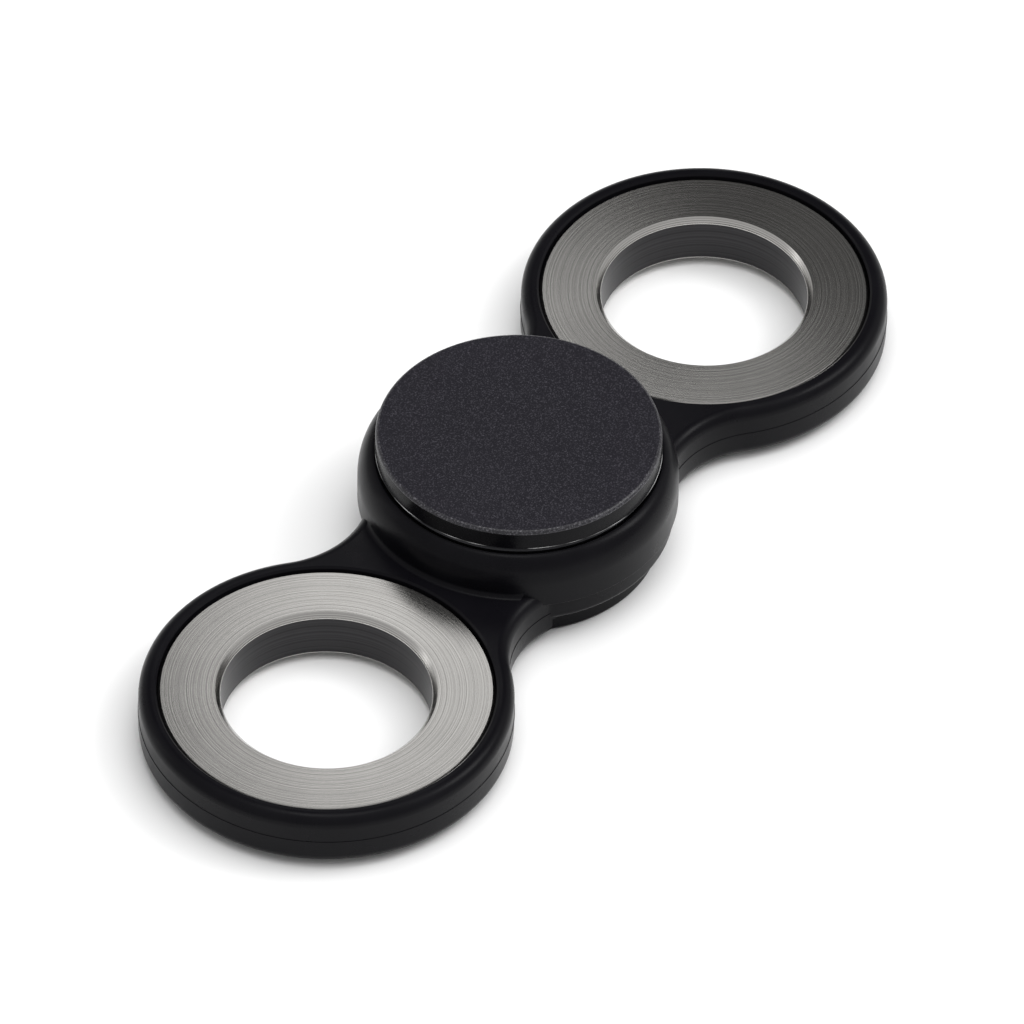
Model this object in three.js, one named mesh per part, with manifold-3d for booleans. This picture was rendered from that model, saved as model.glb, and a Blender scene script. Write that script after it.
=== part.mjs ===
// A two-armed fidget spinner, in millimetres with +Z up.
// The origin is the centre of the lower finger pad's outer face, which the spinner rests on.
// The arms lie along X. The finger pads and the bearing's inner race are the part that is held,
// and the moulded frame turns round them with its two steel weights and the bearing's outer race.

import * as THREE from 'three';
import Module from 'manifold-3d';
import { mergeVertices } from 'three/addons/utils/BufferGeometryUtils.js';

const wasm = await Module();
wasm.setup();

// Ball bearing: two races, seven balls, a riveted ribbon cage, two shields and their snap rings.
const bearingOuterDiameter = 22;
const bearingBoreDiameter = 8;
const bearingWidth = 7;
const ballDiameter = 3.969;
const ballCount = 7;
const ballGrooveClearance = 0.07;
const shoulderSpace = 2.9;
const raceChamfer = 0.3;
const innerRaceStepDepth = 0.3;
const shieldThickness = 0.3;
const shieldSeatDepth = 0.65;
const shieldRunningGap = 0.3;
const snapRingThickness = 0.36;
const snapRingWidth = 0.7;
const snapRingOpening = 50;
const snapGrooveDepth = 0.25;
const snapRingInset = 0.13;
const bearingPieceGap = 0.03;
const seatedRingGap = 0.1;

// Cage: two pressed ribbons, cupped round the balls and riveted between them.
const cageSheet = 0.3;
const cageBandWidth = 2;
const cagePocketClearance = 0.16;
const cageSeamGap = 0.02;
const cageShieldGap = 0.1;
const rivetRadius = 0.32;
const rivetHeadRadius = 0.58;
const rivetHeadHeight = 0.18;
const rivetHeadGap = 0.05;
const rivetHoleClearance = 0.06;

// Finger pads: discs whose stems meet inside the bearing's bore, one a socket and one a pin.
const padDiameter = 22.5;
const padThickness = 1.85;
const padLift = 0.15;
const padBossRadius = 5.3;
const padEdgeRound = 0.35;
const padUnderChamfer = 0.12;
const padRimWidth = 1.35;
const padCoreDepth = 0.6;
const stemClearance = 0.05;
const stemChamfer = 0.3;
const socketRadius = 2.5;
const socketClearance = 0.06;
const socketCeiling = 0.4;
const lowerCollarHeight = 0.9;
const stemEndGap = 0.1;
const pinEndGap = 0.9;

// Frame: a thick hub ring round the bearing, set high on two flat arms.
const hubWall = 1.65;
const hubInset = 0.15;
const hubLand = 0.25;
const hubShoulderDrop = 2.4;
const hubStepDepth = 0.35;
const hubStepHeight = 2.1;
const hubLowerRound = 0.6;
const boreFit = 0.05;
const boreLeadIn = 0.35;
const armFloorGap = 0.5;
const armEdgeRound = 1;
const neckWeb = 1.25;
const neckFillet = 8;
const rimWall = 1.45;
const padRecessGap = 0.65;

// Weights: heavy steel rings pressed into the arms, open through the middle.
const weightOuterDiameter = 26.2;
const weightHoleDiameter = 16.4;
const weightThickness = 4.5;
const weightRecess = 0.3;
const weightInnerChamfer = 0.4;
const weightOuterChamfer = 0.25;
const weightFit = 0.05;

// Facets per turn on the large rounds, the bearing and its small parts.
const roundSegments = 48;
const bearingSegments = 30;
const ballSegments = 10;
const cupSegments = 10;
const rivetSegments = 6;

// Radii and heights that follow from the sizes above.
const bearingRadius = bearingOuterDiameter / 2;
const boreRadius = bearingBoreDiameter / 2;
const ballRadius = ballDiameter / 2;
const pitchRadius = (bearingRadius + boreRadius) / 2;
const padRadius = padDiameter / 2;
const stemRadius = boreRadius - stemClearance;
const weightRadius = weightOuterDiameter / 2;
const hubRadius = bearingRadius + hubWall;
const padRecessRadius = padRadius + padRecessGap;
const armReach = Math.max(hubRadius, padRecessRadius) + neckWeb + weightRadius;
const lobeRadius = weightRadius + rimWall;
const armThickness = weightThickness + weightRecess;
const lowerSeatHeight = padThickness + padLift;
const bearingMiddle = lowerSeatHeight + bearingWidth / 2;
const upperSeatHeight = lowerSeatHeight + bearingWidth;
const hubBottom = lowerSeatHeight + hubInset;
const hubTop = upperSeatHeight - hubInset;

// The bearing's inner sizes. Its heights are from its own middle plane.
const grooveRadius = ballRadius + ballGrooveClearance;
const outerShoulder = pitchRadius + shoulderSpace / 2;
const innerShoulder = pitchRadius - shoulderSpace / 2;
const shieldSeatRadius = outerShoulder + shieldSeatDepth;
const shieldBoreRadius = innerShoulder - innerRaceStepDepth + shieldRunningGap;
const snapTop = bearingWidth / 2 - snapRingInset;
const snapBottom = snapTop - snapRingThickness;
const shieldTop = snapBottom - bearingPieceGap;
const shieldBottom = shieldTop - shieldThickness;
const pocketRadius = ballRadius + cagePocketClearance;
const cupRadius = pocketRadius + cageSheet;
const rivetToBall = 2 * pitchRadius * Math.sin(Math.PI / (2 * ballCount));

const blackPlastic = { color: 0x232226, roughness: 0.5, metalness: 0 };
const padPlastic = { color: 0x2c2b30, roughness: 0.62, metalness: 0 };
const turnedSteel = { color: 0xb9b5ae, roughness: 0.3, metalness: 1 };
const groundSteel = { color: 0xc6c7c9, roughness: 0.22, metalness: 1 };
const polishedSteel = { color: 0xd6d7d9, roughness: 0.08, metalness: 1 };
const pressedSteel = { color: 0xa9aaac, roughness: 0.38, metalness: 1 };

function toSolid(geometry) {
  const bare = geometry.clone();
  bare.deleteAttribute('normal');
  bare.deleteAttribute('uv');
  const merged = mergeVertices(bare, 1e-5);
  const corners = merged.index.array;
  const kept = [];
  for (let i = 0; i < corners.length; i += 3) {
    const triangle = [corners[i], corners[i + 1], corners[i + 2]];
    if (new Set(triangle).size === 3) {
      kept.push(...triangle);
    }
  }
  const mesh = new wasm.Mesh({
    numProp: 3,
    vertProperties: new Float32Array(merged.attributes.position.array),
    triVerts: new Uint32Array(kept),
  });
  return new wasm.Manifold(mesh);
}

function toGeometry(solid) {
  const mesh = solid.getMesh();
  const geometry = new THREE.BufferGeometry();
  geometry.setAttribute('position', new THREE.BufferAttribute(mesh.vertProperties, 3));
  geometry.setIndex(new THREE.BufferAttribute(mesh.triVerts, 1));
  geometry.computeVertexNormals();
  return geometry;
}

// Turns a profile of [radius, height] points about Z. The profile runs up its outer side.
function turned(profile, segments) {
  const points = profile.map(([radius, height]) => new THREE.Vector2(radius, height));
  const geometry = new THREE.LatheGeometry(points, segments);
  geometry.rotateX(Math.PI / 2);
  return toSolid(geometry);
}

// Points along an elliptical arc, from one angle in degrees to another.
function arcPoints(centreX, centreY, radiusX, radiusY, from, to, steps) {
  const points = [];
  for (let i = 0; i <= steps; i += 1) {
    const angle = THREE.MathUtils.degToRad(from + ((to - from) * i) / steps);
    points.push([centreX + radiusX * Math.cos(angle), centreY + radiusY * Math.sin(angle)]);
  }
  return points;
}

function mirroredPoints(points) {
  return points.map(([x, y]) => [x, -y]).reverse();
}

function named(name, solid, finish) {
  const mesh = new THREE.Mesh(toGeometry(solid), new THREE.MeshStandardMaterial(finish));
  mesh.name = name;
  return mesh;
}

// One quarter of the arms' outline: part of the lobe, the hollow neck fillet and part of the hub.
// The fillet's circle touches the lobe and a waist circle that is buried in the hub's wall.
function quarterOutline() {
  const waistRadius = bearingRadius + hubWall / 2;
  const waistToCentre = waistRadius + neckFillet;
  const lobeToCentre = lobeRadius + neckFillet;
  const centreX = (waistToCentre ** 2 - lobeToCentre ** 2 + armReach ** 2) / (2 * armReach);
  const centreY = Math.sqrt(waistToCentre ** 2 - centreX ** 2);
  const lobeAngle = THREE.MathUtils.radToDeg(Math.atan2(centreY, centreX - armReach));
  const waistAngle = THREE.MathUtils.radToDeg(Math.atan2(centreY, centreX));
  return [
    ...arcPoints(armReach, 0, lobeRadius, lobeRadius, 0, lobeAngle, 16),
    ...arcPoints(centreX, centreY, neckFillet, neckFillet, lobeAngle - 180, waistAngle - 180, 6).slice(1),
    ...arcPoints(0, 0, waistRadius, waistRadius, waistAngle, 90, 4).slice(1),
  ];
}

function armPlate() {
  const quarter = quarterOutline();
  const half = [...quarter, ...quarter.slice(0, -1).map(([x, y]) => [-x, y]).reverse()];
  const outline = [...half, ...half.slice(1, -1).map(([x, y]) => [x, -y]).reverse()];
  const shape = new THREE.Shape(outline.map(([x, y]) => new THREE.Vector2(x, y)));
  const geometry = new THREE.ExtrudeGeometry(shape, {
    depth: armThickness - 2 * armEdgeRound,
    bevelThickness: armEdgeRound,
    bevelSize: armEdgeRound,
    bevelOffset: -armEdgeRound,
    bevelSegments: 2,
  });
  geometry.translate(0, 0, armFloorGap + armEdgeRound);
  return toSolid(geometry);
}

// The hub's blank: a rounded shoulder on top and a small step at the mould's parting line.
function hubBlank() {
  const shoulder = hubWall - hubLand;
  const drop = hubShoulderDrop;
  const round = hubLowerRound;
  const lowerRadius = hubRadius - hubStepDepth;
  const stepHeight = hubBottom + hubStepHeight;
  return turned([
    [0, hubBottom],
    ...arcPoints(lowerRadius - round, hubBottom + round, round, round, -90, 0, 3),
    [lowerRadius, stepHeight],
    [hubRadius, stepHeight],
    ...arcPoints(hubRadius - shoulder, hubTop - drop, shoulder, drop, 0, 90, 4),
    [0, hubTop],
  ], roundSegments);
}

function bearingBoreCutter() {
  const radius = bearingRadius + boreFit;
  const leadIn = radius + boreLeadIn;
  const past = 1;
  return turned([
    [0, hubBottom - past],
    [leadIn + past, hubBottom - past],
    [radius, hubBottom + boreLeadIn],
    [radius, hubTop - boreLeadIn],
    [leadIn + past, hubTop + past],
    [0, hubTop + past],
  ], roundSegments);
}

// The space that the lower pad's disc turns in, where the arms reach below the hub.
function padRecessCutter() {
  return turned([
    [0, 0],
    [padRecessRadius, 0],
    [padRecessRadius, hubBottom],
    [0, hubBottom],
  ], roundSegments);
}

function weightPocketCutter() {
  const radius = weightRadius + weightFit;
  return turned([
    [0, 0],
    [radius, 0],
    [radius, hubTop],
    [0, hubTop],
  ], roundSegments);
}

function frame() {
  let solid = armPlate().add(hubBlank());
  solid = solid.subtract(bearingBoreCutter());
  solid = solid.subtract(padRecessCutter());
  for (const side of [-1, 1]) {
    solid = solid.subtract(weightPocketCutter().translate([side * armReach, 0, 0]));
  }
  return named('frame', solid, blackPlastic);
}

function weightRing(name, side) {
  const holeRadius = weightHoleDiameter / 2;
  const mesh = named(name, turned([
    [holeRadius + weightInnerChamfer, 0],
    [weightRadius - weightOuterChamfer, 0],
    [weightRadius, weightOuterChamfer],
    [weightRadius, weightThickness - weightOuterChamfer],
    [weightRadius - weightOuterChamfer, weightThickness],
    [holeRadius + weightInnerChamfer, weightThickness],
    [holeRadius, weightThickness - weightInnerChamfer],
    [holeRadius, weightInnerChamfer],
    [holeRadius + weightInnerChamfer, 0],
  ], roundSegments), turnedSteel);
  mesh.position.set(side * armReach, 0, armFloorGap);
  return mesh;
}

// The height at which a ball's groove runs out at the race's shoulder.
function grooveRise() {
  return Math.sqrt(grooveRadius ** 2 - (shoulderSpace / 2) ** 2);
}

// The races' half profiles run from the bearing's middle plane up to its end face.
function outerRace() {
  const end = bearingWidth / 2;
  const angle = THREE.MathUtils.radToDeg(Math.asin(grooveRise() / grooveRadius));
  const seatHeight = shieldBottom - bearingPieceGap;
  const grooveTop = snapTop + bearingPieceGap;
  const snapGrooveRadius = shieldSeatRadius + snapGrooveDepth;
  const upper = [
    [bearingRadius, end - raceChamfer],
    [bearingRadius - raceChamfer, end],
    [shieldSeatRadius, end],
    [shieldSeatRadius, grooveTop],
    [snapGrooveRadius, grooveTop],
    [snapGrooveRadius, snapBottom],
    [shieldSeatRadius, snapBottom],
    [shieldSeatRadius, seatHeight],
    [outerShoulder, seatHeight],
    ...arcPoints(pitchRadius, 0, grooveRadius, grooveRadius, angle, 0, 3),
  ];
  return named('bearing_outer_race', ringOf(upper), groundSteel);
}

function innerRace() {
  const end = bearingWidth / 2;
  const angle = THREE.MathUtils.radToDeg(Math.asin(grooveRise() / grooveRadius));
  const stepRadius = innerShoulder - innerRaceStepDepth;
  const stepHeight = shieldBottom - bearingPieceGap;
  const upper = [
    ...arcPoints(pitchRadius, 0, grooveRadius, grooveRadius, 180, 180 - angle, 3),
    [innerShoulder, stepHeight],
    [stepRadius, stepHeight],
    [stepRadius, end],
    [boreRadius + raceChamfer, end],
    [boreRadius, end - raceChamfer],
  ];
  return named('bearing_inner_race', ringOf(upper), groundSteel);
}

// A ring that is the same above and below its middle plane, from the upper half of its profile.
function ringOf(upper) {
  const lower = mirroredPoints(upper);
  const loop = [...upper, ...lower.filter(([, height]) => Math.abs(height) > 1e-9)];
  return turned([...loop, loop[0]], bearingSegments);
}

function ballAngle(index) {
  return (2 * Math.PI * index) / ballCount;
}

function onPitchCircle(mesh, angle) {
  mesh.position.set(pitchRadius * Math.cos(angle), pitchRadius * Math.sin(angle), 0);
  mesh.rotation.z = angle;
  return mesh;
}

function ball(index) {
  const geometry = new THREE.SphereGeometry(ballRadius, ballSegments, ballSegments - 2);
  geometry.rotateX(Math.PI / 2);
  const mesh = named(`bearing_ball_${index + 1}`, toSolid(geometry), polishedSteel);
  return onPitchCircle(mesh, ballAngle(index));
}

function ballSpheres(radius) {
  const spheres = [];
  for (let index = 0; index < ballCount; index += 1) {
    const geometry = new THREE.SphereGeometry(radius, cupSegments, cupSegments - 2);
    geometry.rotateX(Math.PI / 2);
    geometry.rotateZ(ballAngle(index));
    geometry.translate(pitchRadius * Math.cos(ballAngle(index)), pitchRadius * Math.sin(ballAngle(index)), 0);
    spheres.push(toSolid(geometry));
  }
  return spheres;
}

function band(bottom, top) {
  const inner = pitchRadius - cageBandWidth / 2;
  const outer = pitchRadius + cageBandWidth / 2;
  return turned([
    [inner, bottom],
    [outer, bottom],
    [outer, top],
    [inner, top],
    [inner, bottom],
  ], bearingSegments);
}

// One ribbon of the cage, above the middle plane: flat between the balls and cupped over them.
function cageHalf(name) {
  const seam = cageSeamGap / 2;
  let solid = band(seam, seam + cageSheet);
  for (const sphere of ballSpheres(cupRadius)) {
    solid = solid.add(sphere);
  }
  solid = solid.intersect(band(seam, shieldBottom - cageShieldGap));
  for (const sphere of ballSpheres(pocketRadius)) {
    solid = solid.subtract(sphere);
  }
  for (let index = 0; index < ballCount; index += 1) {
    const angle = ballAngle(index + 0.5);
    const hole = new THREE.CylinderGeometry(rivetRadius + rivetHoleClearance,
      rivetRadius + rivetHoleClearance, 4 * cageSheet, rivetSegments);
    hole.rotateX(Math.PI / 2);
    hole.rotateZ(angle);
    hole.translate(pitchRadius * Math.cos(angle), pitchRadius * Math.sin(angle), 0);
    solid = solid.subtract(toSolid(hole));
  }
  return named(name, solid, pressedSteel);
}

function lowerCageHalf() {
  const mesh = cageHalf('bearing_cage_lower');
  mesh.rotation.x = Math.PI;
  return mesh;
}

// A rivet through both ribbons, its heads no wider than the room between two cups.
function rivet(index) {
  const seat = cageSeamGap / 2 + cageSheet + bearingPieceGap;
  const headRadius = Math.min(rivetHeadRadius, rivetToBall - cupRadius - rivetHeadGap);
  const mesh = named(`bearing_cage_rivet_${index + 1}`, turned([
    [0, -seat - rivetHeadHeight],
    [headRadius, -seat - rivetHeadHeight],
    [headRadius, -seat],
    [rivetRadius, -seat],
    [rivetRadius, seat],
    [headRadius, seat],
    [headRadius, seat + rivetHeadHeight],
    [0, seat + rivetHeadHeight],
  ], rivetSegments), pressedSteel);
  return onPitchCircle(mesh, ballAngle(index + 0.5));
}

function shield(name, side) {
  const outer = shieldSeatRadius - seatedRingGap;
  const bottom = side > 0 ? shieldBottom : -shieldTop;
  return named(name, turned([
    [shieldBoreRadius, bottom],
    [outer, bottom],
    [outer, bottom + shieldThickness],
    [shieldBoreRadius, bottom + shieldThickness],
    [shieldBoreRadius, bottom],
  ], bearingSegments), pressedSteel);
}

// An open wire ring that springs into the groove outside the shield.
function snapRing(name, side) {
  const outer = shieldSeatRadius + snapGrooveDepth - seatedRingGap;
  const inner = outer - snapRingWidth;
  const from = snapRingOpening / 2;
  const outerEdge = arcPoints(0, 0, outer, outer, from, 360 - from, bearingSegments);
  const innerEdge = arcPoints(0, 0, inner, inner, 360 - from, from, bearingSegments);
  const outline = [...outerEdge, ...innerEdge];
  const shape = new THREE.Shape(outline.map(([x, y]) => new THREE.Vector2(x, y)));
  const depth = snapRingThickness - bearingPieceGap;
  const geometry = new THREE.ExtrudeGeometry(shape, { depth, bevelEnabled: false });
  geometry.translate(0, 0, side > 0 ? snapBottom + bearingPieceGap : -snapTop);
  return named(name, toSolid(geometry), polishedSteel);
}

// A pad's disc from the seat on the inner race to its outer face, cored out underneath.
function padDiscProfile() {
  const top = padLift + padThickness;
  const coreTop = padLift + padCoreDepth;
  const rimInner = padRadius - padRimWidth;
  return [
    [stemRadius, 0],
    [padBossRadius, 0],
    [padBossRadius, coreTop],
    [rimInner, coreTop],
    [rimInner, padLift],
    [padRadius - padUnderChamfer, padLift],
    [padRadius, padLift + padUnderChamfer],
    ...arcPoints(padRadius - padEdgeRound, top - padEdgeRound, padEdgeRound, padEdgeRound, 0, 90, 3),
    [0, top],
  ];
}

function upperPad() {
  const stemLength = bearingWidth - lowerCollarHeight - stemEndGap;
  const mesh = named('upper_pad', turned([
    [0, -socketCeiling],
    [socketRadius, -socketCeiling],
    [socketRadius, -stemLength],
    [stemRadius - stemChamfer, -stemLength],
    [stemRadius, -stemLength + stemChamfer],
    ...padDiscProfile(),
  ], roundSegments), padPlastic);
  mesh.position.z = upperSeatHeight;
  return mesh;
}

function lowerPad() {
  const pinRadius = socketRadius - socketClearance;
  const pinLength = bearingWidth - socketCeiling - pinEndGap;
  const mesh = named('lower_pad', turned([
    [0, -pinLength],
    [pinRadius - stemChamfer, -pinLength],
    [pinRadius, -pinLength + stemChamfer],
    [pinRadius, -lowerCollarHeight],
    [stemRadius, -lowerCollarHeight],
    ...padDiscProfile(),
  ], roundSegments), padPlastic);
  mesh.rotation.x = Math.PI;
  mesh.position.z = lowerSeatHeight;
  return mesh;
}

function indices(count) {
  return Array.from({ length: count }, (unused, index) => index);
}

const rotor = new THREE.Group();
rotor.add(frame());
rotor.add(weightRing('weight_ring_left', -1));
rotor.add(weightRing('weight_ring_right', 1));

const bearing = new THREE.Group();
bearing.position.z = bearingMiddle;
bearing.add(outerRace());
bearing.add(innerRace());
bearing.add(...indices(ballCount).map(ball));
bearing.add(cageHalf('bearing_cage_upper'));
bearing.add(lowerCageHalf());
bearing.add(...indices(ballCount).map(rivet));
bearing.add(shield('bearing_shield_upper', 1));
bearing.add(shield('bearing_shield_lower', -1));
bearing.add(snapRing('snap_ring_upper', 1));
bearing.add(snapRing('snap_ring_lower', -1));

const spinner = new THREE.Group();
spinner.add(rotor);
spinner.add(bearing);
spinner.add(upperPad());
spinner.add(lowerPad());

export default spinner;
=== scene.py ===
# A two-armed fidget spinner: a moulded black frame with a steel ring in each arm, turning on a
# ball bearing between two finger pads. It rests on its lower pad, with its arms along X.
import math

import bmesh
import bpy
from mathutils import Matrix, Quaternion, Vector


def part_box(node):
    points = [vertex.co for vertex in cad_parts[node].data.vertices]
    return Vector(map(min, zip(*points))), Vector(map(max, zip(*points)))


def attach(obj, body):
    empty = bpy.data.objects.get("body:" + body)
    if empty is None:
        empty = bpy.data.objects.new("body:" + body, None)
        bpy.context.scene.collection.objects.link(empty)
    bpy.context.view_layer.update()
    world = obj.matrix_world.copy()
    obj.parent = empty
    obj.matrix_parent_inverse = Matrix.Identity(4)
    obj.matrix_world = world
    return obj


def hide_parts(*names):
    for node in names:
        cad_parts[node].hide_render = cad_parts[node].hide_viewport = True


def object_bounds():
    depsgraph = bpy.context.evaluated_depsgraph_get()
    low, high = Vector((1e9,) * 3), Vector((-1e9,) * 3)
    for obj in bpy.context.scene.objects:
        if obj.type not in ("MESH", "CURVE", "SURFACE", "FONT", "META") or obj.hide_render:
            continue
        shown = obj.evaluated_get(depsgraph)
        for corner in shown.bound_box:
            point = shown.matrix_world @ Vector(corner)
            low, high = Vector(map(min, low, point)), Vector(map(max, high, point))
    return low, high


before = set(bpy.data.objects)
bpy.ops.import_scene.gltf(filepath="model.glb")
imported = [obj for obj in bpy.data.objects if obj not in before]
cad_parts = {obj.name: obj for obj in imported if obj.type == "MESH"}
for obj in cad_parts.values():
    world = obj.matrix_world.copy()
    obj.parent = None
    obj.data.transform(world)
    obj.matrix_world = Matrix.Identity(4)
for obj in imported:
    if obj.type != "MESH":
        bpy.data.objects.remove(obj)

cad_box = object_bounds()
mm = 0.001

# ---- Frame ----
# One injection-moulded piece of black plastic: two flat arms with rounded edges and a thick hub
# that stands up between them. It is bored for the bearing and for the two weights, and a fine
# step round the hub and a fine ridge round the arms show where the mould's halves met.
frame_low, frame_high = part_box("frame")
ring_low, ring_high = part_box("weight_ring_right")
race_low, race_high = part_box("bearing_outer_race")
disc_low, disc_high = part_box("lower_pad")

arm_reach = (ring_low[0] + ring_high[0]) / 2
lobe_radius = frame_high[0] - arm_reach
ring_radius = ring_high[0] - arm_reach
bearing_radius = race_high[0]
disc_radius = disc_high[0]
arm_bottom = frame_low[2]
arm_top = arm_bottom + 4.8 * mm
arm_edge = 1 * mm
hub_wall = 1.65 * mm
hub_bottom = race_low[2] + 0.15 * mm
hub_top = frame_high[2]
hub_land = 0.25 * mm
hub_shoulder_drop = 2.4 * mm
hub_step = 0.35 * mm
hub_step_height = 2.1 * mm
hub_lower_round = 0.6 * mm
hub_foot = 0.45 * mm
neck_fillet = 8 * mm
bore_fit = 0.05 * mm
bore_lead_in = 0.35 * mm
pocket_fit = 0.05 * mm
pocket_lead_in = 0.16 * mm
pad_recess_gap = 0.65 * mm
arm_foot_start = 8.4 * mm
ridge_width = 0.12 * mm
ridge_height = 0.035 * mm


def edit(piece):
    bpy.ops.object.select_all(action="DESELECT")
    piece.select_set(True)
    bpy.context.view_layer.objects.active = piece
    bpy.ops.object.mode_set(mode="EDIT")
    bpy.ops.mesh.select_all(action="SELECT")


def select(piece, kind, wanted):
    """Selects the piece's verts, edges or faces that the test wants, in edit mode."""
    bpy.ops.mesh.select_mode(type={"verts": "VERT", "edges": "EDGE", "faces": "FACE"}[kind])
    bpy.ops.mesh.select_all(action="DESELECT")
    mesh = bmesh.from_edit_mesh(piece.data)
    for element in getattr(mesh, kind):
        element.select_set(wanted(element))
    bmesh.update_edit_mesh(piece.data)


def leave_edit():
    """Welds what met, turns the faces outwards and goes back to object mode."""
    bpy.ops.mesh.select_mode(type="VERT")
    bpy.ops.mesh.select_all(action="SELECT")
    bpy.ops.mesh.remove_doubles(threshold=0.0005 * mm)
    bpy.ops.mesh.normals_make_consistent(inside=False)
    bpy.ops.object.mode_set(mode="OBJECT")


def arc(centre, radii, start, end, steps):
    """Profile points along an arc, between two angles in degrees."""
    angles = [math.radians(start + (end - start) * step / steps) for step in range(steps + 1)]
    return [(centre[0] + radii[0] * math.cos(a), centre[1] + radii[1] * math.sin(a)) for a in angles]


def turned(name, profile, steps=240):
    """Turns a profile of (radius, height) about Z: a ring if it closes, or else capped at its ends."""
    closed = profile[0] == profile[-1]
    radius, height = profile[0]
    bpy.ops.object.select_all(action="DESELECT")
    bpy.ops.mesh.primitive_circle_add(
        vertices=steps, radius=radius, location=(0, 0, height), fill_type="NOTHING" if closed else "NGON"
    )
    piece = bpy.context.object
    piece.name = name
    bpy.ops.object.transform_apply()
    edit(piece)
    for next_radius, next_height in profile[1:]:
        rise = (0, 0, next_height - height)
        grow = next_radius / radius
        bpy.ops.mesh.extrude_edges_move(TRANSFORM_OT_translate={"value": rise})
        bpy.ops.transform.resize(value=(grow, grow, 1), center_override=(0, 0, next_height))
        radius, height = next_radius, next_height
    if not closed:
        bpy.ops.mesh.edge_face_add()
    leave_edit()
    return piece


def combine(piece, other, operation):
    """Joins, cuts or keeps what is shared of two solids, in the first."""
    joint = piece.modifiers.new("joint", "BOOLEAN")
    joint.operation = operation
    joint.solver = "EXACT"
    joint.object = other
    bpy.context.view_layer.objects.active = piece
    bpy.ops.object.modifier_apply(modifier=joint.name)
    bpy.data.objects.remove(other)


def knit(piece):
    """Merges the points that cuts leave closer together than a hair's breadth."""
    edit(piece)
    bpy.ops.mesh.remove_doubles(threshold=0.003 * mm)
    bpy.ops.mesh.dissolve_degenerate(threshold=0.002 * mm)
    bpy.ops.object.mode_set(mode="OBJECT")


def shade(piece, sharpest=32):
    """Smooth shading that keeps flat faces flat, with a crease past the sharpest angle."""
    bpy.ops.object.select_all(action="DESELECT")
    piece.select_set(True)
    bpy.context.view_layer.objects.active = piece
    bpy.ops.object.shade_smooth_by_angle(angle=math.radians(sharpest))
    weighted = piece.modifiers.new("weighted", "WEIGHTED_NORMAL")
    weighted.keep_sharp = True
    bpy.ops.object.modifier_apply(modifier=weighted.name)


def shift(piece, offset):
    edit(piece)
    bpy.ops.transform.translate(value=offset)
    bpy.ops.object.mode_set(mode="OBJECT")


def draw_arc(angle, centre, steps):
    """Draws an arc on from the last point, counter-clockwise where the angle is positive."""
    bpy.ops.mesh.spin(steps=steps, angle=-angle, center=(*centre, arm_bottom), axis=(0, 0, 1))


def arm_outline():
    """A quarter of the arms' outline is drawn as three arcs, lobe, neck and waist, and mirrored."""
    waist_radius = bearing_radius + hub_wall / 2
    waist_to_neck = waist_radius + neck_fillet
    lobe_to_neck = lobe_radius + neck_fillet
    neck_x = (waist_to_neck**2 - lobe_to_neck**2 + arm_reach**2) / (2 * arm_reach)
    neck_y = math.sqrt(waist_to_neck**2 - neck_x**2)
    lobe_angle = math.atan2(neck_y, neck_x - arm_reach)
    waist_angle = math.atan2(neck_y, neck_x)
    bpy.ops.object.select_all(action="DESELECT")
    bpy.ops.mesh.primitive_plane_add(size=mm, location=(arm_reach + lobe_radius, 0, arm_bottom))
    outline = bpy.context.object
    bpy.ops.object.transform_apply()
    edit(outline)
    bpy.ops.mesh.merge(type="CENTER")
    draw_arc(lobe_angle, (arm_reach, 0), 90)
    draw_arc(waist_angle - lobe_angle, (neck_x, neck_y), 36)
    draw_arc(math.pi / 2 - waist_angle, (0, 0), 24)
    bpy.ops.object.mode_set(mode="OBJECT")
    mirror = outline.modifiers.new("mirror", "MIRROR")
    mirror.use_axis = (True, True, False)
    mirror.merge_threshold = 0.001 * mm
    bpy.ops.object.modifier_apply(modifier=mirror.name)
    return outline


def arm_plate():
    plate = arm_outline()
    plate.name = "frame_body"
    edit(plate)
    bpy.ops.mesh.edge_face_add()
    middle = (arm_bottom + arm_top) / 2
    levels = [arm_bottom, middle - ridge_width / 2, middle + ridge_width / 2, arm_top]
    for lower, upper in zip(levels, levels[1:]):
        bpy.ops.mesh.extrude_region_move(TRANSFORM_OT_translate={"value": (0, 0, upper - lower)})
    leave_edit()
    edit(plate)
    select(plate, "faces", lambda face: abs(face.calc_center_median().z - middle) < ridge_width / 2)
    bpy.ops.mesh.extrude_region_shrink_fatten(TRANSFORM_OT_shrink_fatten={"value": ridge_height})

    def on_rim(edge):
        heights = [vert.co.z for vert in edge.verts]
        return max(heights) < arm_bottom + 0.01 * mm or min(heights) > arm_top - 0.01 * mm

    select(plate, "edges", on_rim)
    bpy.ops.mesh.bevel(offset=arm_edge, segments=7, affect="EDGES")
    leave_edit()
    return plate


def hub_blank():
    radius = bearing_radius + hub_wall
    lower = radius - hub_step
    land = radius - hub_wall + hub_land
    step = hub_bottom + hub_step_height
    soft = 0.07 * mm
    shoulder = (land, hub_top - hub_shoulder_drop)
    return turned("hub", [
        (lower / 2, hub_bottom),
        *arc((lower - hub_lower_round, hub_bottom + hub_lower_round), (hub_lower_round,) * 2, -90, 0, 8),
        (lower, step),
        *arc((radius - soft, step + soft), (soft, soft), -90, 0, 4),
        *arc(shoulder, (hub_wall - hub_land, hub_shoulder_drop), 0, 90, 18),
        (lower / 2, hub_top),
    ])


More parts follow.
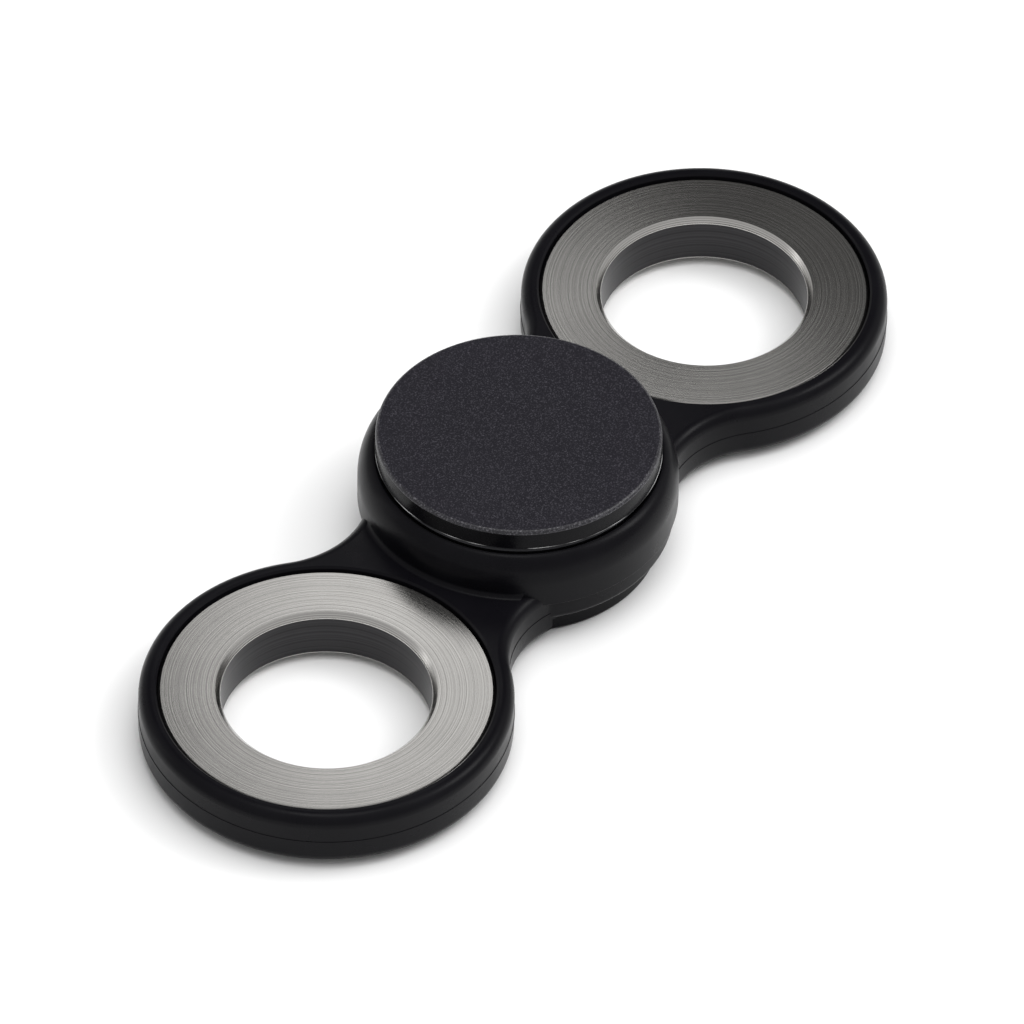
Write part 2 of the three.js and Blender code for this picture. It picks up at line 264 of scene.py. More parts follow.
def hub_foot_fillet():
    """A small hollow fillet where the hub rises from the arms, cut to the flat of the arms' tops."""
    radius = bearing_radius + hub_wall
    inner = radius - hub_step
    fillet = turned("foot", [
        (inner, arm_top - hub_foot),
        (radius + hub_foot, arm_top - hub_foot),
        *arc((radius + hub_foot, arm_top + hub_foot), (hub_foot,) * 2, -90, -180, 8),
        (inner, arm_top + hub_foot),
        (inner, arm_top - hub_foot),
    ])
    blade = arm_outline()
    edit(blade)
    bpy.ops.mesh.edge_face_add()
    bpy.ops.mesh.inset(thickness=arm_edge)
    select(blade, "faces", lambda face: len(face.verts) == 4)
    bpy.ops.mesh.delete(type="FACE")
    bpy.ops.mesh.select_all(action="SELECT")
    bpy.ops.mesh.extrude_region_move(TRANSFORM_OT_translate={"value": (0, 0, hub_top)})
    leave_edit()
    combine(fillet, blade, "INTERSECT")
    return fillet


def bore_cutter(radius, lead_in, bottom, top):
    """A reamer for a round hole between two heights, with a chamfer at each end."""
    past = 1 * mm
    return turned("cutter", [
        (radius + lead_in + past, bottom - past),
        (radius, bottom + lead_in),
        (radius, top - lead_in),
        (radius + lead_in + past, top + past),
    ])


def moulded_plastic(name, colour, wear_and_glint_colour, roughness, grain, grain_depth):
    """Moulded plastic with the fine grain of its mould, clouded gloss and faint patches of wear, which on the
    flash and the pad's edge are paler, as painted glints and a painted highlight.
    """
    made = bpy.data.materials.new(name)
    made.use_nodes = True
    nodes = made.node_tree.nodes
    link = made.node_tree.links.new
    shader = nodes["Principled BSDF"]
    place = nodes.new("ShaderNodeTexCoord")

    def noise(scale, detail):
        texture = nodes.new("ShaderNodeTexNoise")
        texture.inputs["Scale"].default_value = scale
        texture.inputs["Detail"].default_value = detail
        link(place.outputs["Object"], texture.inputs["Vector"])
        return texture.outputs["Fac"]

    def spread(value, low, high, low_out, high_out):
        remap = nodes.new("ShaderNodeMapRange")
        for socket, number in (("From Min", low), ("From Max", high), ("To Min", low_out), ("To Max", high_out)):
            remap.inputs[socket].default_value = number
        link(value, remap.inputs["Value"])
        return remap.outputs["Result"]

    # Patches of the second colour: random wear, and painted glints or painted highlight where that colour is
    # pale.
    wear_and_glints = nodes.new("ShaderNodeMix")
    wear_and_glints.data_type = "RGBA"
    wear_and_glints.inputs["A"].default_value = (*colour, 1)
    wear_and_glints.inputs["B"].default_value = (*wear_and_glint_colour, 1)
    link(spread(noise(140, 6), 0.45, 0.75, 0, 1), wear_and_glints.inputs["Factor"])
    link(wear_and_glints.outputs["Result"], shader.inputs["Base Color"])
    link(spread(noise(320, 4), 0.3, 0.7, roughness - 0.05, roughness + 0.07), shader.inputs["Roughness"])
    bump = nodes.new("ShaderNodeBump")
    bump.inputs["Strength"].default_value = 1
    bump.inputs["Distance"].default_value = grain_depth
    link(noise(1 / grain, 2), bump.inputs["Height"])
    link(bump.outputs["Normal"], shader.inputs["Normal"])
    return made


black_plastic = moulded_plastic(
    "satin black plastic", (0.0032, 0.0030, 0.0042), (0.0052, 0.005, 0.0064), 0.3, 0.18 * mm, 0.004 * mm
)
black_plastic.node_tree.nodes["Principled BSDF"].inputs["Specular IOR Level"].default_value = 0.1

frame_body = arm_plate()
combine(frame_body, hub_blank(), "UNION")
combine(frame_body, hub_foot_fillet(), "UNION")
pad_recess = turned("cutter", [
    (disc_radius + pad_recess_gap, arm_bottom - mm),
    (disc_radius + pad_recess_gap, hub_bottom),
])
combine(frame_body, pad_recess, "DIFFERENCE")
bpy.ops.mesh.primitive_cube_add(size=1, location=(0, 0, arm_bottom))
thin_end_cutter = bpy.context.object
thin_end_cutter.scale = (2 * arm_foot_start, 4 * disc_radius, 2 * (hub_bottom - arm_bottom))
combine(frame_body, thin_end_cutter, "DIFFERENCE")
combine(frame_body, bore_cutter(bearing_radius + bore_fit, bore_lead_in, hub_bottom, hub_top), "DIFFERENCE")
for side in (-1, 1):
    pocket = bore_cutter(ring_radius + pocket_fit, pocket_lead_in, arm_bottom, arm_top)
    shift(pocket, (side * arm_reach, 0, 0))
    combine(frame_body, pocket, "DIFFERENCE")
knit(frame_body)
shade(frame_body)
frame_body.data.materials.clear()
frame_body.data.materials.append(black_plastic)
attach(frame_body, "rotor")
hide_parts("frame")

# ---- Weights ----
# A heavy steel ring in each arm, open through the middle and pressed into the plastic. Its bore
# is painted dark, as painted shade in the hole, and its faces and chamfers are turned bright on
# a lathe, which leaves fine circular lines on them.
ring_hole = 8.2 * mm
ring_inner_chamfer = 0.4 * mm
ring_outer_chamfer = 0.25 * mm
tool_line = 0.06 * mm


def ring_profile():
    bottom = ring_low[2]
    top = ring_high[2]
    inner = ring_hole + ring_inner_chamfer
    outer = ring_radius - ring_outer_chamfer
    return [
        (inner, bottom),
        (outer, bottom),
        (ring_radius, bottom + ring_outer_chamfer),
        (ring_radius, top - ring_outer_chamfer),
        (outer, top),
        (inner, top),
        (ring_hole + 0.06 * mm, top - ring_inner_chamfer + 0.06 * mm),
        (ring_hole, top - ring_inner_chamfer - 0.06 * mm),
        (ring_hole, bottom + ring_inner_chamfer + 0.06 * mm),
        (ring_hole + 0.06 * mm, bottom + ring_inner_chamfer - 0.06 * mm),
        (inner, bottom),
    ]


def turned_steel(name, colour, roughness, centre_x, line, line_depth, anisotropy):
    """Lathe-turned steel, faintly clouded, with circular tool lines about the piece's own centre. The
    lines follow the radius on a face and the height on a wall."""
    made = bpy.data.materials.new(name)
    made.use_nodes = True
    nodes = made.node_tree.nodes
    link = made.node_tree.links.new
    shader = nodes["Principled BSDF"]
    shader.inputs["Metallic"].default_value = 1
    shader.inputs["Anisotropic"].default_value = anisotropy
    place = nodes.new("ShaderNodeTexCoord")
    split = nodes.new("ShaderNodeSeparateXYZ")
    link(place.outputs["Object"], split.inputs["Vector"])

    def maths(operation, first, second=None):
        node = nodes.new("ShaderNodeMath")
        node.operation = operation
        for socket, value in zip(node.inputs, (first, second)):
            if isinstance(value, (int, float)):
                socket.default_value = value
            elif value is not None:
                link(value, socket)
        return node.outputs["Value"]

    along = maths("SUBTRACT", maths("ABSOLUTE", split.outputs["X"]), centre_x)
    across = split.outputs["Y"]
    radius = maths("SQRT", maths("ADD", maths("MULTIPLY", along, along), maths("MULTIPLY", across, across)))
    path = maths("ADD", radius, split.outputs["Z"])

    def lines(width, detail):
        texture = nodes.new("ShaderNodeTexNoise")
        texture.noise_dimensions = "1D"
        texture.inputs["Detail"].default_value = detail
        texture.inputs["Scale"].default_value = 1
        link(maths("MULTIPLY", path, 1 / width), texture.inputs["W"])
        return texture.outputs["Fac"]

    clouds = nodes.new("ShaderNodeTexNoise")
    clouds.inputs["Scale"].default_value = 260
    clouds.inputs["Detail"].default_value = 5
    link(place.outputs["Object"], clouds.inputs["Vector"])
    tone = nodes.new("ShaderNodeMix")
    tone.data_type = "RGBA"
    tone.inputs["A"].default_value = (*[0.6 * channel for channel in colour], 1)
    tone.inputs["B"].default_value = (*colour, 1)
    streaks = maths("MULTIPLY_ADD", lines(1.8 * line, 4), 2.8)
    streaks.node.inputs[2].default_value = -0.9
    link(maths("ADD", streaks, maths("MULTIPLY", clouds.outputs["Fac"], 0.4)), tone.inputs["Factor"])
    link(tone.outputs["Result"], shader.inputs["Base Color"])
    gloss = maths("MULTIPLY_ADD", lines(2 * line, 2), 0.12)
    gloss.node.inputs[2].default_value = roughness - 0.06
    link(gloss, shader.inputs["Roughness"])
    bump = nodes.new("ShaderNodeBump")
    bump.inputs["Strength"].default_value = 1
    bump.inputs["Distance"].default_value = line_depth
    link(lines(line, 4), bump.inputs["Height"])
    link(bump.outputs["Normal"], shader.inputs["Normal"])
    around = nodes.new("ShaderNodeTangent")
    around.direction_type = "RADIAL"
    around.axis = "Z"
    link(around.outputs["Tangent"], shader.inputs["Tangent"])
    return made


weight_steel = turned_steel(
    "turned steel", (0.68, 0.665, 0.64), 0.24, arm_reach, tool_line, 0.0012 * mm, 0.6
)
# The bore's dark colour is painted shade: it darkens the wall of the hole through each ring.
bore_painted_shade = turned_steel(
    "bore painted shade", (0.042, 0.041, 0.043), 0.36, arm_reach, 2 * tool_line, 0.0008 * mm, 0.2
)

for name, side in (("left", -1), ("right", 1)):
    ring = turned(f"steel_weight_{name}", ring_profile())
    ring.data.materials.append(weight_steel)
    ring.data.materials.append(bore_painted_shade)
    # The faces of the bore take the dark colour of painted shade.
    for face in ring.data.polygons:
        face.material_index = 1 if face.center.xy.length < ring_hole + 0.02 * mm else 0
    shift(ring, (side * arm_reach, 0, 0))
    shade(ring)
    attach(ring, "rotor")
    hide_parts(f"weight_ring_{name}")

# ---- Bearing races ----
# Two hardened and ground steel rings, grooved for the balls. The outer one is pressed into the
# frame's bore, and the inner one is held between the finger pads' stems.
bearing_middle = (race_low[2] + race_high[2]) / 2
bearing_half = (race_high[2] - race_low[2]) / 2
bore_radius = 4 * mm
pitch_radius = (bearing_radius + bore_radius) / 2
ball_radius = 3.969 / 2 * mm
groove_radius = ball_radius + 0.07 * mm
outer_shoulder = pitch_radius + 1.45 * mm
inner_shoulder = pitch_radius - 1.45 * mm
race_chamfer = 0.3 * mm
inner_step = 0.3 * mm
shield_seat = outer_shoulder + 0.65 * mm
snap_groove = shield_seat + 0.25 * mm
piece_gap = 0.03 * mm
snap_top = bearing_half - 0.13 * mm
snap_bottom = snap_top - 0.36 * mm
shield_top = snap_bottom - piece_gap
shield_bottom = shield_top - 0.3 * mm


def groove(start, end):
    return arc((pitch_radius, 0), (groove_radius, groove_radius), start, end, 14)


def both_halves(upper):
    """Closes a race's profile from its upper half, which runs on from the middle plane or to it."""
    lower = [(radius, -height) for radius, height in reversed(upper)]
    loop = upper + [point for point in lower if abs(point[1]) > 1e-9]
    return [(radius, height + bearing_middle) for radius, height in loop + loop[:1]]


groove_end = math.degrees(math.acos((outer_shoulder - pitch_radius) / groove_radius))
outer_half = [
    (bearing_radius, bearing_half - race_chamfer),
    (bearing_radius - race_chamfer, bearing_half),
    (shield_seat, bearing_half),
    (shield_seat, snap_top + piece_gap),
    (snap_groove, snap_top + piece_gap),
    (snap_groove, snap_bottom),
    (shield_seat, snap_bottom),
    (shield_seat, shield_bottom - piece_gap),
    (outer_shoulder, shield_bottom - piece_gap),
    *groove(groove_end, 0),
]
inner_half = [
    *groove(180, 180 - groove_end),
    (inner_shoulder, shield_bottom - piece_gap),
    (inner_shoulder - inner_step, shield_bottom - piece_gap),
    (inner_shoulder - inner_step, bearing_half),
    (bore_radius + race_chamfer, bearing_half),
    (bore_radius, bearing_half - race_chamfer),
]
race_steel = turned_steel("ground steel", (0.6, 0.6, 0.61), 0.2, 0, 0.03 * mm, 0.0004 * mm, 0.4)
chamfer_steel = turned_steel("hardened scale", (0.07, 0.07, 0.075), 0.4, 0, 0.05 * mm, 0.0006 * mm, 0.2)

for name, half, body in (("outer", outer_half, "rotor"), ("inner", inner_half, "grip")):
    race = turned(f"{name}_race", both_halves(half), 180)
    shade(race)
    race.data.materials.append(race_steel)
    race.data.materials.append(chamfer_steel)
    for face in race.data.polygons:
        face.material_index = 1 if 0.6 < abs(face.normal.z) < 0.8 else 0
    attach(race, body)
    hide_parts(f"bearing_{name}_race")

# ---- Balls ----
# Seven hardened steel balls, lapped to a mirror finish, that roll in the races' grooves.
ball_count = 7


def true_sphere(name, radius, cuts):
    """A ball from a subdivided cube, cast to a sphere on the pitch circle."""
    bpy.ops.object.select_all(action="DESELECT")
    bpy.ops.mesh.primitive_cube_add(size=radius, location=(0, 0, 0))
    sphere = bpy.context.object
    sphere.name = name
    edit(sphere)
    bpy.ops.mesh.subdivide(number_cuts=cuts)
    bpy.ops.object.mode_set(mode="OBJECT")
    cast = sphere.modifiers.new("cast", "CAST")
    cast.factor = 1
    cast.use_radius_as_size = False
    cast.size = radius
    bpy.ops.object.modifier_apply(modifier=cast.name)
    shift(sphere, (pitch_radius, 0, bearing_middle))
    return sphere


def copied(piece, name, turn):
    """A copy with its own mesh, turned counter-clockwise about the bearing's axis."""
    copy = piece.copy()
    copy.data = piece.data.copy()
    copy.name = name
    bpy.context.collection.objects.link(copy)
    edit(copy)
    bpy.ops.transform.rotate(value=-turn, orient_axis="Z", center_override=(0, 0, 0))
    bpy.ops.object.mode_set(mode="OBJECT")
    return copy


def polished_steel(name, colour, roughness):
    """Polished steel with faint lapping haze and hair-fine random scratches."""
    made = bpy.data.materials.new(name)
    made.use_nodes = True
    nodes = made.node_tree.nodes
    link = made.node_tree.links.new
    shader = nodes["Principled BSDF"]
    shader.inputs["Metallic"].default_value = 1
    place = nodes.new("ShaderNodeTexCoord")
    haze = nodes.new("ShaderNodeTexNoise")
    haze.inputs["Scale"].default_value = 900
    haze.inputs["Detail"].default_value = 6
    link(place.outputs["Object"], haze.inputs["Vector"])
    tone = nodes.new("ShaderNodeMix")
    tone.data_type = "RGBA"
    tone.inputs["A"].default_value = (*[0.8 * channel for channel in colour], 1)
    tone.inputs["B"].default_value = (*colour, 1)
    link(haze.outputs["Fac"], tone.inputs["Factor"])
    link(tone.outputs["Result"], shader.inputs["Base Color"])
    gloss = nodes.new("ShaderNodeMapRange")
    gloss.inputs["To Min"].default_value = roughness * 0.6
    gloss.inputs["To Max"].default_value = roughness * 1.5
    link(haze.outputs["Fac"], gloss.inputs["Value"])
    link(gloss.outputs["Result"], shader.inputs["Roughness"])
    scratches = nodes.new("ShaderNodeBump")
    scratches.inputs["Distance"].default_value = 0.0003 * mm
    link(haze.outputs["Fac"], scratches.inputs["Height"])
    link(scratches.outputs["Normal"], shader.inputs["Normal"])
    return made


ball_steel = polished_steel("lapped steel", (0.68, 0.69, 0.7), 0.07)
first_ball = true_sphere("first_ball", ball_radius, 19)
shade(first_ball, 60)
for index in range(ball_count):
    ball = copied(first_ball, f"steel_ball_{index + 1}", 2 * math.pi * index / ball_count)
    ball.data.materials.append(ball_steel)
    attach(ball, f"ball_{index + 1}")
    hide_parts(f"bearing_ball_{index + 1}")
bpy.data.objects.remove(first_ball)

# ---- Cage ----
# Two ribbons pressed from sheet steel, cupped over the balls and flat between them, where seven
# small rivets hold the ribbons together.
cage_sheet = 0.3 * mm
cage_half_width = 1 * mm
cage_seam = 0.01 * mm
pocket_radius = ball_radius + 0.16 * mm
cup_radius = pocket_radius + cage_sheet
rivet_radius = 0.32 * mm
rivet_head_radius = 0.58 * mm
rivet_head_height = 0.18 * mm
rivet_hole = rivet_radius + 0.06 * mm


def cage_band(bottom, top, spare=0):
    """A flat-sided band round the cage's pitch circle, with spare stock inside, outside and below."""
    inner = pitch_radius - cage_half_width - spare
    outer = pitch_radius + cage_half_width + spare
    low = bearing_middle + bottom - spare
    high = bearing_middle + top
    return turned("band", [(inner, low), (outer, low), (outer, high), (inner, high), (inner, low)], 168)


def round_the_pitch(piece, half_step):
    """Seven of a piece round the pitch circle, joined, on the balls' places or between them."""
    turns = [2 * math.pi * (index + half_step) / ball_count for index in range(ball_count)]
    copies = [copied(piece, "copy", turn) for turn in turns]
    bpy.data.objects.remove(piece)
    bpy.ops.object.select_all(action="DESELECT")
    for copy in copies:
        copy.select_set(True)
    bpy.context.view_layer.objects.active = copies[0]
    bpy.ops.object.join()
    return bpy.context.object


def rivet_hole_cutter():
    hole = turned("hole", [(rivet_hole, -mm), (rivet_hole, mm)], 24)
    shift(hole, (pitch_radius, 0, bearing_middle))
    return round_the_pitch(hole, 0.5)


def cage_ribbon():
    ribbon = cage_band(cage_seam, cage_seam + cage_sheet, cage_sheet)
    combine(ribbon, round_the_pitch(true_sphere("cup", cup_radius, 15), 0), "UNION")
    combine(ribbon, cage_band(cage_seam, cup_radius + cage_sheet), "INTERSECT")
    combine(ribbon, round_the_pitch(true_sphere("pocket", pocket_radius, 15), 0), "DIFFERENCE")
    combine(ribbon, rivet_hole_cutter(), "DIFFERENCE")
    knit(ribbon)
    ribbon.name = "cage_ribbon_upper"
    return ribbon


def turned_over(piece, name):
    """A copy turned over about X in the bearing's middle plane."""
    copy = copied(piece, name, 0)
    edit(copy)
    bpy.ops.transform.rotate(value=math.pi, orient_axis="X", center_override=(0, 0, bearing_middle))
    bpy.ops.object.mode_set(mode="OBJECT")
    return copy


cage_steel = polished_steel("pressed sheet steel", (0.5, 0.5, 0.5), 0.3)
upper_ribbon = cage_ribbon()
shade(upper_ribbon)
upper_ribbon.data.materials.append(cage_steel)
lower_ribbon = turned_over(upper_ribbon, "cage_ribbon_lower")
for name, ribbon in (("upper", upper_ribbon), ("lower", lower_ribbon)):
    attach(ribbon, "cage")
    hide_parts(f"bearing_cage_{name}")

rivet_seat = cage_seam + cage_sheet + piece_gap
dome = arc((0, rivet_seat), (rivet_head_radius, rivet_head_height), 0, 80, 6)
first_rivet = turned("first_rivet", [
    *[(radius, -height) for radius, height in reversed(dome)],
    (rivet_radius, -rivet_seat),
    (rivet_radius, rivet_seat),
    *dome,
], 32)
shift(first_rivet, (pitch_radius, 0, bearing_middle))
shade(first_rivet)
first_rivet.data.materials.append(cage_steel)
for index in range(ball_count):
    rivet = copied(first_rivet, f"cage_rivet_{index + 1}", 2 * math.pi * (index + 0.5) / ball_count)
    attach(rivet, "cage")
    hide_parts(f"bearing_cage_rivet_{index + 1}")
bpy.data.objects.remove(first_rivet)

# ---- Shields and snap rings ----
# A thin sheet-steel washer closes each side of the bearing. It sits on a step in the outer race,
# and an open ring of flat spring wire holds it there.
seat_gap = 0.1 * mm
shield_bore = inner_shoulder
snap_outer = snap_groove - seat_gap
snap_width = 0.7 * mm
snap_opening = math.radians(50)
soft_edge = 0.05 * mm


def shield_washer():
    outer = shield_seat - seat_gap
    low = bearing_middle + shield_bottom
    high = bearing_middle + shield_top
    return turned("shield_upper", [
        (shield_bore + soft_edge, low),
        (outer - soft_edge, low),
        (outer, low + soft_edge),
        (outer, high - soft_edge),
        (outer - soft_edge, high),
        (shield_bore + soft_edge, high),
        (shield_bore, high - soft_edge),
        (shield_bore, low + soft_edge),
        (shield_bore + soft_edge, low),
    ], 180)


def snap_ring():
    """A flat wire section, its corners rounded, spun round most of a turn."""
    low = snap_bottom + piece_gap
    bpy.ops.object.select_all(action="DESELECT")
    bpy.ops.mesh.primitive_plane_add(size=1, location=(0, 0, 0))
    wire = bpy.context.object
    wire.name = "spring_ring_upper"
    edit(wire)
    bpy.ops.transform.resize(value=(snap_width, snap_top - low, 1))
    bpy.ops.mesh.bevel(offset=soft_edge, segments=3, affect="VERTICES")
    bpy.ops.transform.rotate(value=-math.pi / 2, orient_axis="X", center_override=(0, 0, 0))
    place = (snap_outer - snap_width / 2, 0, bearing_middle + (low + snap_top) / 2)
    bpy.ops.transform.translate(value=place)
    bpy.ops.transform.rotate(value=-snap_opening / 2, orient_axis="Z", center_override=(0, 0, 0))
    sweep = 2 * math.pi - snap_opening
    bpy.ops.mesh.spin(steps=150, angle=-sweep, center=(0, 0, place[2]), axis=(0, 0, 1))
    leave_edit()
    return wire


shield_steel = turned_steel("shield steel", (0.55, 0.55, 0.56), 0.28, 0, 0.08 * mm, 0.0004 * mm, 0.2)
for make, finish, node, slot in (
    (shield_washer, shield_steel, "bearing_shield", "shield_steel"),
    (snap_ring, ball_steel, "snap_ring", "ball_steel"),
):
    upper = make()
    shade(upper)
    upper.data.materials.append(finish)
    lower = turned_over(upper, upper.name.replace("upper", "lower"))
    for side, piece in (("upper", upper), ("lower", lower)):
        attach(piece, "rotor")
        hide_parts(f"{node}_{side}")

# ---- Finger pads ----
# Two moulded plastic discs, cored out underneath, with stems that meet inside the bearing's bore:
# the upper one has a socket and the lower one a pin. Their faces have the fine grain of a
# spark-eroded mould, with pale specks painted into its colour as painted glints. Their rounded
# edges are painted lighter as a painted highlight, their sides are smooth, and a thread of flash
# stands round the under edge, with painted glints on it.
pad_lift = 0.15 * mm
pad_height = 2 * mm
pad_boss_radius = 5.3 * mm
pad_edge = 0.35 * mm
pad_rim = 1.35 * mm
pad_core = 0.6 * mm
stem_radius = bore_radius - 0.05 * mm
stem_chamfer = 0.3 * mm
socket_radius = 2.5 * mm
socket_ceiling = 0.4 * mm
collar = 0.9 * mm
bearing_width = 2 * bearing_half
upper_stem = bearing_width - collar - 0.1 * mm
pin_radius = socket_radius - 0.06 * mm
pin_length = bearing_width - socket_ceiling - 0.9 * mm
flash = 0.03 * mm
flash_height = 0.06 * mm


def pad_disc():
    """A pad's profile from its stem to its face, with heights above its seat on the inner race."""
    rim_inner = disc_radius - pad_rim
    core_top = pad_lift + pad_core
    inside = 0.15 * mm
    return [
        (stem_radius, 0),
        (pad_boss_radius - 0.1 * mm, 0),
        (pad_boss_radius, 0.1 * mm),
        *arc((pad_boss_radius + inside, core_top - inside), (inside, inside), 180, 90, 4),
        *arc((rim_inner - inside, core_top - inside), (inside, inside), 90, 0, 4),
        (rim_inner, pad_lift),
        (disc_radius - 0.12 * mm, pad_lift),
        (disc_radius - flash, pad_lift + 0.08 * mm),
        (disc_radius, pad_lift + 0.08 * mm + flash_height / 2),
        (disc_radius - flash, pad_lift + 0.08 * mm + flash_height),
        *arc((disc_radius - flash - pad_edge, pad_height - pad_edge), (pad_edge, pad_edge), 0, 90, 9),
    ]


def upper_pad_profile():
    return [
        (socket_radius, -socket_ceiling),
        (socket_radius, -upper_stem),
        (stem_radius - stem_chamfer, -upper_stem),
        (stem_radius, stem_chamfer - upper_stem),
        *pad_disc(),
    ]


def lower_pad_profile():
    return [
        (pin_radius - stem_chamfer, -pin_length),
        (pin_radius, stem_chamfer - pin_length),
        (pin_radius, -collar),
        (stem_radius, -collar),
        *pad_disc(),
    ]


def paint_glints(made, glint_speck_colour, speck, dull, bright):
    """Paints pale specks into the base colour, as painted glints, where a noise of the speck's size goes from
    the dull to the bright level.
    """
    nodes = made.node_tree.nodes
    link = made.node_tree.links.new
    shader = nodes["Principled BSDF"]
    plain = shader.inputs["Base Color"].links[0].from_socket
    place = nodes.new("ShaderNodeTexCoord")
    grains = nodes.new("ShaderNodeTexNoise")
    grains.inputs["Scale"].default_value = 1 / speck
    grains.inputs["Detail"].default_value = 1
    link(place.outputs["Object"], grains.inputs["Vector"])
    crest = nodes.new("ShaderNodeMapRange")
    crest.inputs["From Min"].default_value = dull
    crest.inputs["From Max"].default_value = bright
    link(grains.outputs["Fac"], crest.inputs["Value"])
    glinted = nodes.new("ShaderNodeMix")
    glinted.data_type = "RGBA"
    glinted.inputs["B"].default_value = (*glint_speck_colour, 1)
    link(crest.outputs["Result"], glinted.inputs["Factor"])
    link(plain, glinted.inputs["A"])
    link(glinted.outputs["Result"], shader.inputs["Base Color"])


pad_plastic = moulded_plastic(
    "spark-grained plastic", (0.0082, 0.0076, 0.0110), (0.0100, 0.0093, 0.0132), 0.48, 0.2 * mm, 0.012 * mm
)
# Pale specks on the grained face: painted glints.
paint_glints(pad_plastic, (0.062, 0.059, 0.071), 0.115 * mm, 0.52, 0.9)
pad_plastic.node_tree.nodes["Principled BSDF"].inputs["Specular IOR Level"].default_value = 0.2
side_plastic = moulded_plastic(
    "smooth pad side", (0.0030, 0.0029, 0.0038), (0.005, 0.0048, 0.006), 0.22, 0.3 * mm, 0.002 * mm
)
side_plastic.node_tree.nodes["Principled BSDF"].inputs["Specular IOR Level"].default_value = 0.09
# The edge's lighter colours and paler specks are a painted highlight along the rounded edge; its higher gloss is
# the edge's own.
edge_painted_highlight = moulded_plastic(
    "pad edge painted highlight", (0.0095, 0.0090, 0.0120), (0.0160, 0.0152, 0.0195), 0.33, 0.2 * mm, 0.008 * mm
)
paint_glints(edge_painted_highlight, (0.13, 0.125, 0.14), 0.14 * mm, 0.5, 0.9)
edge_painted_highlight.node_tree.nodes["Principled BSDF"].inputs["Specular IOR Level"].default_value = 0.5
# The flash's pale patches and pale specks are painted glints, where the thin ridge catches light.
flash_painted_glints = moulded_plastic(
    "thin flash painted glints", (0.004, 0.004, 0.005), (0.05, 0.05, 0.05), 0.3, 0.3 * mm, 0.01 * mm
)
flash_painted_glints.node_tree.nodes["Principled BSDF"].inputs["Specular IOR Level"].default_value = 0.1
paint_glints(flash_painted_glints, (0.6, 0.6, 0.6), 2.4 * mm, 0.5, 0.8)


def pad_finish(face):
    """0 for the grained face, 1 for the smooth sides, 2 for the flash with its painted glints, 3 for the rounded
    edge with its painted highlight.
    """
    radius = face.center.xy.length
    if radius > disc_radius - 0.8 * flash:
        return 2
    if abs(face.normal.z) < 0.2 or radius > disc_radius - flash:
        return 1
    return 3 if abs(face.normal.z) < 0.97 and radius > disc_radius - flash - pad_edge else 0


upper_pad = turned("finger_pad_upper", upper_pad_profile(), 288)
shift(upper_pad, (0, 0, race_high[2]))
lower_pad = turned("finger_pad_lower", lower_pad_profile(), 288)
edit(lower_pad)
bpy.ops.transform.rotate(value=math.pi, orient_axis="X", center_override=(0, 0, 0))
bpy.ops.transform.translate(value=(0, 0, race_low[2]))
bpy.ops.object.mode_set(mode="OBJECT")
for pad, node in ((upper_pad, "upper_pad"), (lower_pad, "lower_pad")):
    shade(pad)
    for finish in (pad_plastic, side_plastic, flash_painted_glints, edge_painted_highlight):
        pad.data.materials.append(finish)
    for face in pad.data.polygons:
        face.material_index = pad_finish(face)
    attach(pad, "grip")
    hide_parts(node)

# ---- Table and studio ----
# A plain pale table, a wide soft light above, and a small soft panel close behind the spinner
# whose reflection lies on the steel round the hub and ends before the arms' tips.
bpy.ops.object.select_all(action="DESELECT")
bpy.ops.mesh.primitive_plane_add(size=6, location=(0, 0, 0))
table = bpy.context.object
table.name = "table"
table_paint = bpy.data.materials.new("pale table")
table_paint.use_nodes = True
paint = table_paint.node_tree.nodes["Principled BSDF"]
paint.inputs["Base Color"].default_value = (0.84, 0.84, 0.84, 1)
paint.inputs["Roughness"].default_value = 0.9
paint.inputs["Specular IOR Level"].default_value = 0.1
table.data.materials.append(table_paint)

view_azimuth = math.radians(-57.5)
view_elevation = math.radians(44.3)
view_roll = math.radians(1.05)
level = math.cos(view_elevation)
back = Vector((math.sin(view_azimuth) * level, -math.cos(view_azimuth) * level, math.sin(view_elevation)))
right = Vector((math.cos(view_azimuth), math.sin(view_azimuth), 0))
up = back.cross(right)
pad_centre = Vector((0, 0, cad_box[1][2]))


def soft_panel(name, aim, direction, distance, width, height, brightness, in_reflections=True):
    """An area light facing the aim point. Its brightness is that of the panel's surface."""
    data = bpy.data.lights.new(name, "AREA")
    data.shape = "RECTANGLE"
    data.size = width
    data.size_y = height
    data.energy = brightness * math.pi * width * height
    panel = bpy.data.objects.new(name, data)
    bpy.context.collection.objects.link(panel)
    panel.location = aim + direction.normalized() * distance
    panel.rotation_mode = "QUATERNION"
    panel.rotation_quaternion = direction.to_track_quat("Z", "Y")
    panel.visible_camera = False
    panel.visible_glossy = in_reflections
    return panel


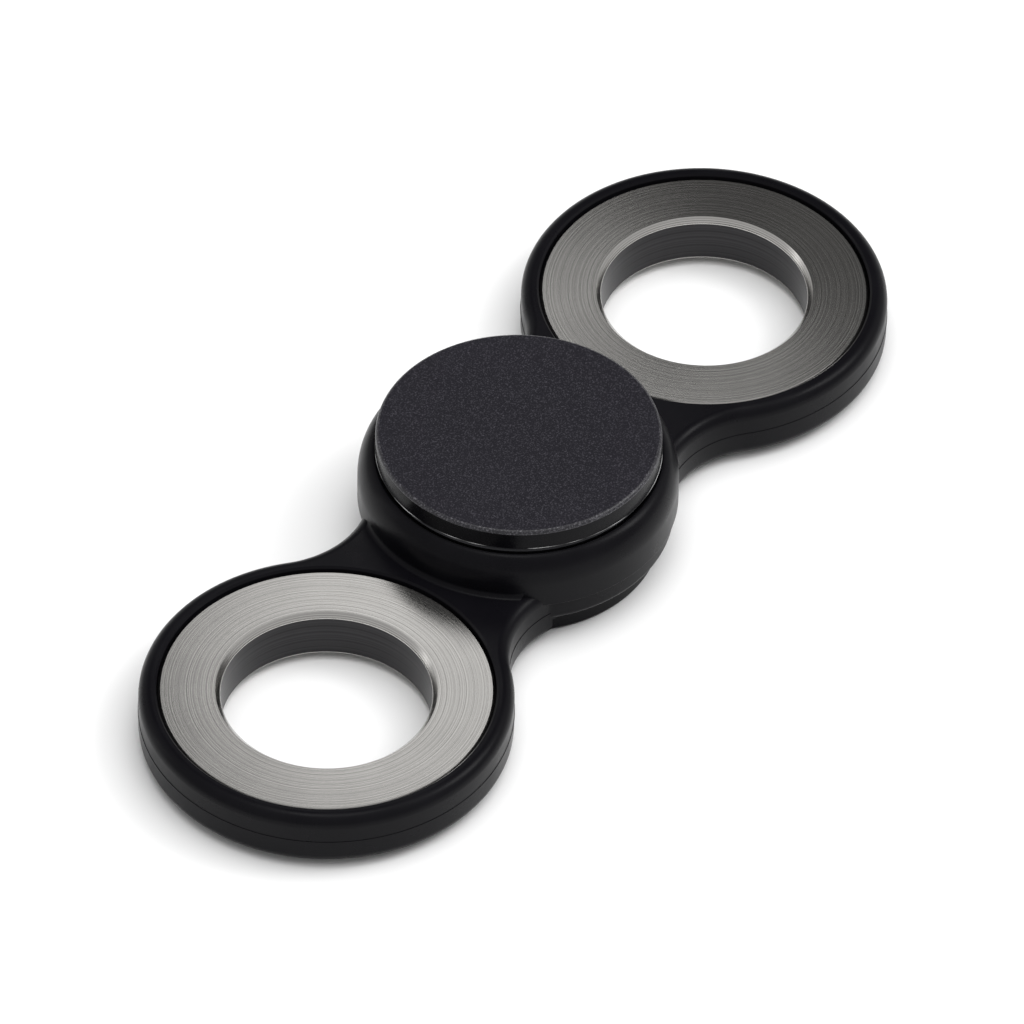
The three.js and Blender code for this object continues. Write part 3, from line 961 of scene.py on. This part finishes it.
mirror_way = Vector((-back.x, -back.y, back.z))
overhead_way = 0.2 * right + Vector((0, 0, 1))
overhead_data = bpy.data.lights.new("overhead", "SUN")
overhead_data.energy = 2.3
overhead_data.angle = math.radians(67)
overhead = bpy.data.objects.new("overhead", overhead_data)
bpy.context.collection.objects.link(overhead)
overhead.rotation_mode = "QUATERNION"
overhead.rotation_quaternion = overhead_way.to_track_quat("Z", "Y")
overhead.visible_glossy = False
soft_panel("top", pad_centre, Vector((0, 0, 1)), 0.8, 0.3, 0.3, 2.5)
soft_panel("key", pad_centre, 0.9 * right + 0.25 * mirror_way + Vector((0, 0, 0.8)), 0.8, 0.25, 0.35, 5)
near_side = pad_centre - Vector((14 * mm, 0, 0))
soft_panel("hub_glow", near_side, mirror_way, 0.15, 0.045, 0.045, 1.1)
soft_panel("rim", pad_centre, -0.9 * right + 0.3 * mirror_way, 0.7, 0.08, 0.5, 1.6)

world = bpy.data.worlds.new("studio")
bpy.context.scene.world = world
world.use_nodes = True
backdrop = world.node_tree.nodes["Background"]
backdrop.inputs["Color"].default_value = (1, 1, 1, 1)
world_nodes = world.node_tree.nodes
world_link = world.node_tree.links.new
way = world_nodes.new("ShaderNodeTexCoord")
towards = world_nodes.new("ShaderNodeVectorMath")
towards.operation = "DOT_PRODUCT"
towards.inputs[1].default_value = mirror_way
world_link(way.outputs["Generated"], towards.inputs[0])
dark_flag = world_nodes.new("ShaderNodeMapRange")
for socket, number in (("From Min", 0.8), ("From Max", 0.97), ("To Min", 0.5), ("To Max", 0.05)):
    dark_flag.inputs[socket].default_value = number
world_link(towards.outputs["Value"], dark_flag.inputs["Value"])
ray = world_nodes.new("ShaderNodeLightPath")
strength = world_nodes.new("ShaderNodeMapRange")
strength.inputs["To Max"].default_value = 0.95
world_link(ray.outputs["Is Camera Ray"], strength.inputs["Value"])
world_link(dark_flag.outputs["Result"], strength.inputs["To Min"])
world_link(strength.outputs["Result"], backdrop.inputs["Strength"])

# ---- Camera ----
# A long lens, looking down between the two arms' ends with the finger pad near the middle.
view_distance = 1.2
view_width = 79.9 * mm
aim = pad_centre - right * 0.434 * mm - up * 6.24 * mm
camera_data = bpy.data.cameras.new("camera")
camera_data.sensor_width = 36
camera_data.lens = camera_data.sensor_width * view_distance / view_width
camera_data.clip_start = 0.01
camera_data.clip_end = 100
camera = bpy.data.objects.new("camera", camera_data)
bpy.context.collection.objects.link(camera)
camera.location = aim + back * view_distance
camera.rotation_mode = "QUATERNION"
camera.rotation_quaternion = Quaternion(back, view_roll) @ (-back).to_track_quat("-Z", "Y")
bpy.context.scene.camera = camera
bpy.context.scene.view_settings.view_transform = "Standard"
